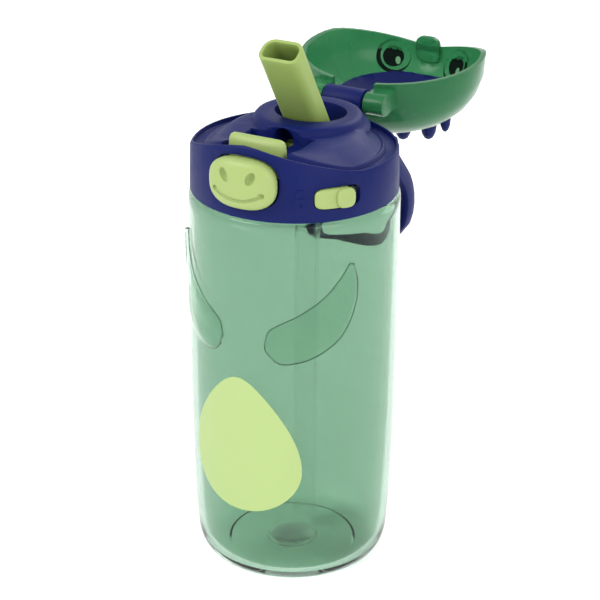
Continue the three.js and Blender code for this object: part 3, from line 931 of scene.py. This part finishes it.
@dataclass
class Catch(SubAssembly):
    """Push button shaped as a snout, its catch bar and the return spring."""

    body: str = "latch"
    face: float = 40.2 * MM
    middle: float = 152.6 * MM
    nostril: Place = (4.9 * MM, 0.0, 3.2 * MM)
    nostril_size: Place = (1.5 * MM, 1.7 * MM, 2.5 * MM)
    nostril_slant: float = math.radians(28)
    smile_radius: float = 15.0 * MM
    smile_cut: float = 0.82
    smile_rise: float = 9.9 * MM
    smile_width: float = 0.6 * MM
    smile_depth: float = 0.1 * MM
    dimple: Place = (8.7 * MM, 0.0, -2.3 * MM)
    dimple_size: Place = (1.0 * MM, 1.1 * MM, 1.0 * MM)

    def front_at(self, snout: bpy.types.Object, x: float, z: float) -> float:
        """Where the snout's face stands.

        Args:
            snout: The snout.
            x: Place across.
            z: Height over the snout's middle.

        Returns:
            Its Y. Beyond the snout's edge it is the Y of its foremost point.
        """
        hit, place, _, _ = snout.ray_cast((x, -2 * self.face, self.middle + z), (0, 1, 0))
        return place.y if hit else -self.face

    def oval_cutter(self, snout: bpy.types.Object, place: Place, size: Place,
                    slant: float) -> bpy.types.Object:
        """Oval that hollows one nostril or one dimple.

        Args:
            snout: The snout.
            place: Where on the face, from the snout's middle.
            size: Its half sizes.
            slant: Its turn about Y.

        Returns:
            The cutter.
        """
        Bench.clear()
        bpy.ops.mesh.primitive_uv_sphere_add(segments=24, ring_count=14, radius=1.0, scale=size)
        cutter = bpy.context.object
        x, _, z = place
        Bench.settle(cutter, (x, self.front_at(snout, x, z), self.middle + z), (0, slant, 0))
        return cutter

    def smile_cutter(self, snout: bpy.types.Object) -> bpy.types.Object:
        """Lower arc of a ring, laid along the face, that grooves the smile.

        Args:
            snout: The snout.

        Returns:
            The cutter.
        """
        Bench.clear()
        bpy.ops.mesh.primitive_torus_add(major_radius=self.smile_radius, minor_radius=self.smile_width,
                                         major_segments=144, minor_segments=12)
        cutter = bpy.context.object
        Bench.settle(cutter, turn=(math.pi / 2, 0, 0))
        Bench.edit(cutter)
        bpy.ops.mesh.select_all(action="SELECT")
        bpy.ops.mesh.bisect(plane_co=(0, 0, -self.smile_cut * self.smile_radius), plane_no=(0, 0, 1),
                            use_fill=True, clear_outer=True)
        bpy.ops.object.mode_set(mode="OBJECT")
        Bench.settle(cutter, (0, self.smile_depth, self.middle + self.smile_rise))
        for vertex in cutter.data.vertices:
            vertex.co.y += self.front_at(snout, vertex.co.x, vertex.co.z - self.middle)
        return cutter

    def build(self) -> None:
        """Makes the snout, the bar and the spring."""
        snout = Bench.copy_node(self.frame["nodes"]["push_button"], "push_button_finished")
        Bench.modify(snout, "SUBSURF", levels=2, render_levels=2)
        cutters = [self.smile_cutter(snout)]
        for side in (-1, 1):
            for (x, y, z), size, slant in ((self.nostril, self.nostril_size, self.nostril_slant),
                                           (self.dimple, self.dimple_size, 0.0)):
                cutters.append(self.oval_cutter(snout, (side * x, y, z), size, side * slant))
        for cutter in cutters:
            Bench.carve(snout, cutter)
        Bench.smooth(snout, 42)
        self.fit(snout, LIME, "push_button")
        self.refine("latch_bar", LIME, Polish(bevel=1.4 * MM, segments=6, angle=50))
        self.refine("latch_spring", STEEL, Polish(rounds=1, angle=60))


@dataclass
class Lock(SubAssembly):
    """Slider that blocks the button."""

    body: str = "lock"

    def build(self) -> None:
        """Makes the slider."""
        self.refine("lock_slider", LIME, Polish(bevel=0.25 * MM, segments=3, angle=38))


# ---- cover --------------------------------------------------------------------------------


@dataclass
class Cover(SubAssembly):
    """Flip cover: translucent head, crest and printed eyes."""

    body: str = "cover"
    eye: Place = (13.3 * MM, 104.6 * MM, 155.3 * MM)
    facing: Place = (-0.45, -0.72, 0.53)
    pupil: float = 4.1 * MM
    glint: float = 0.24  # half width, as a share of the pupil
    glint_shift: float = 0.42
    lash: float = 6.8 * MM
    lash_steps: int = 3
    lash_share: float = 0.955
    lash_shift: Place = (0.28 * MM, 0.1 * MM, 0.0)
    ink_lift: float = 0.12 * MM
    ink: float = 0.06 * MM

    def eye_frame(self, side: int) -> Matrix:
        """Turn and place of one eye, facing into the cover.

        Args:
            side: 1 on the right, -1 on the left.

        Returns:
            The matrix.
        """
        x, y, z = self.eye
        fx, fy, fz = self.facing
        turn = Vector((side * fx, fy, fz)).to_track_quat("Z", "Y").to_matrix().to_4x4()
        return Matrix.Translation((side * x, y, z)) @ turn

    @staticmethod
    def disc(name: str, radius: tuple[float, float], offset: Place) -> bpy.types.Object:
        """Flat oval patch with rings of faces.

        Args:
            name: Its name.
            radius: Half width and half height.
            offset: Its middle, in the eye's own plane.

        Returns:
            The patch, in the eye's own frame.
        """
        Bench.clear()
        bpy.ops.mesh.primitive_circle_add(vertices=48, radius=1.0, fill_type="TRIFAN")
        patch = bpy.context.object
        patch.name = name
        patch.scale = (*radius, 1)
        Bench.settle(patch, offset)
        Bench.edit(patch)
        bpy.ops.mesh.select_all(action="SELECT")
        bpy.ops.mesh.subdivide(number_cuts=5)
        bpy.ops.object.mode_set(mode="OBJECT")
        return patch

    def crescent(self, name: str, side: int) -> bpy.types.Object:
        """Lash: a ring that is thick on the outer side and thin on the inner one.

        Args:
            name: Its name.
            side: 1 on the right, -1 on the left.

        Returns:
            The patch, in the eye's own frame.
        """
        Bench.clear()
        bpy.ops.mesh.primitive_circle_add(vertices=64, radius=self.lash, fill_type="NOTHING")
        ring = bpy.context.object
        ring.name = name
        Bench.edit(ring)
        bpy.ops.mesh.select_all(action="SELECT")
        x, y, z = self.lash_shift
        for _ in range(self.lash_steps):
            bpy.ops.mesh.extrude_region_move(TRANSFORM_OT_translate={"value": (-side * x, y, z)})
            bpy.ops.transform.resize(value=(self.lash_share, self.lash_share, 1))
        bpy.ops.object.mode_set(mode="OBJECT")
        return ring

    def print_eye(self, side: int, surface: bpy.types.Object) -> None:
        """Lays one eye's prints inside the cover.

        Args:
            side: 1 on the right, -1 on the left.
            surface: The cover's shell.
        """
        word = "right" if side > 0 else "left"
        small = self.glint * self.pupil
        shift = self.glint_shift * self.pupil
        parts = (
            (self.disc(f"pupil_{word}", (self.pupil, self.pupil), (0, 0, 0)), DARK_INK, self.ink_lift),
            (self.crescent(f"lash_{word}", side), DARK_INK, self.ink_lift),
            (self.disc(f"glint_{word}", (small, 1.5 * small), (shift, -shift, 0)), PALE_INK,
             2 * self.ink_lift),
        )
        for patch, ink, lift in parts:
            patch.data.transform(self.eye_frame(side))
            Bench.lay_print(patch, surface, lift, self.ink)
            self.fit(patch, ink)

    def build(self) -> None:
        """Makes the shell, the crest and the eyes."""
        shell = self.refine("cover_shell", HEAD_GREEN, Polish(bevel=0.3 * MM, segments=3, angle=40))
        self.refine("cover_crest", NAVY, Polish(bevel=0.2 * MM, angle=45))
        for side in (-1, 1):
            self.print_eye(side, shell)


@dataclass
class CarryLoop(SubAssembly):
    """Bowed carry loop behind the bottle."""

    body: str = "loop"

    def build(self) -> None:
        """Makes the loop."""
        self.refine("carry_loop", NAVY, Polish(bevel=0.35 * MM, segments=2, angle=40))


# ---- studio -------------------------------------------------------------------------------


@dataclass(frozen=True)
class Lamp:
    """One soft area light that aims at the bottle."""

    name: str
    place: Place
    size: float
    power: float

    def build(self, target: Vector) -> None:
        """Adds the light.

        Args:
            target: What it aims at.
        """
        light = bpy.data.lights.new(self.name, "AREA")
        light.shape = "DISK"
        light.size = self.size
        light.energy = self.power
        obj = bpy.data.objects.new(self.name, light)
        bpy.context.scene.collection.objects.link(obj)
        obj.location = self.place
        obj.rotation_euler = (target - obj.location).to_track_quat("-Z", "Y").to_euler()


@dataclass
class Studio:
    """Pale floor, soft lights and the camera."""

    floor_size: float = 12.0
    sky_strength: float = 0.95
    lamp_target: Place = (0, 0, 90 * MM)
    eye_point: Place = (0.3055, -0.56995, 0.38784)
    view: Place = (-0.4280, 0.8050, -0.4108)
    roll: float = 0.008
    lens: float = 121.0
    lamps: Iterable[Lamp] = field(default_factory=lambda: (
        Lamp("key", (-0.55, -0.75, 0.95), 0.7, 9.0),
        Lamp("fill", (0.95, -0.45, 0.55), 0.8, 5.0),
        Lamp("back", (0.15, 0.95, 0.8), 0.7, 6.0),
    ))

    def floor(self) -> None:
        """Adds the floor the bottle stands on."""
        Bench.clear()
        bpy.ops.mesh.primitive_plane_add(size=self.floor_size)
        floor = bpy.context.object
        floor.name = "floor"
        shader = Shader("pale floor")
        tint = shader.blend(shader.clouds(3.0), srgb(250, 250, 250), srgb(247, 247, 248))
        surface = shader.node("ShaderNodeBsdfPrincipled", {}, {"Base Color": tint, "Roughness": 0.7})
        floor.data.materials.append(shader.close(surface.outputs["BSDF"]))

    def sky(self) -> None:
        """Sets an even white surround."""
        world = bpy.data.worlds.new("studio")
        world.use_nodes = True
        background = world.node_tree.nodes["Background"]
        background.inputs["Color"].default_value = (1, 1, 1, 1)
        background.inputs["Strength"].default_value = self.sky_strength
        bpy.context.scene.world = world
        bpy.context.scene.view_settings.view_transform = "Standard"

    def camera(self) -> None:
        """Adds the camera."""
        data = bpy.data.cameras.new("camera")
        data.lens = self.lens
        data.sensor_width = 36.0
        data.clip_start, data.clip_end = 0.01, 50.0
        camera = bpy.data.objects.new("camera", data)
        bpy.context.scene.collection.objects.link(camera)
        aim = Vector(self.view).to_track_quat("-Z", "Y").to_matrix().to_4x4()
        camera.matrix_world = Matrix.Translation(self.eye_point) @ aim @ Matrix.Rotation(self.roll, 4, "Z")
        bpy.context.scene.camera = camera

    def build(self) -> None:
        """Sets the studio up."""
        self.floor()
        self.sky()
        self.camera()
        for lamp in self.lamps:
            lamp.build(Vector(self.lamp_target))


def main() -> None:
    """Builds the bottle and its studio."""
    logging.basicConfig(level=logging.INFO, format="%(message)s")
    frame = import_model()
    for assembly in (Bottle, Seal, Lid, Spout, Catch, Lock, Cover, CarryLoop):
        LOG.info("-- %s", assembly.__name__)
        assembly(frame).build()
    Studio().build()
    Bench.clear()


if __name__ == "__main__":
    main()
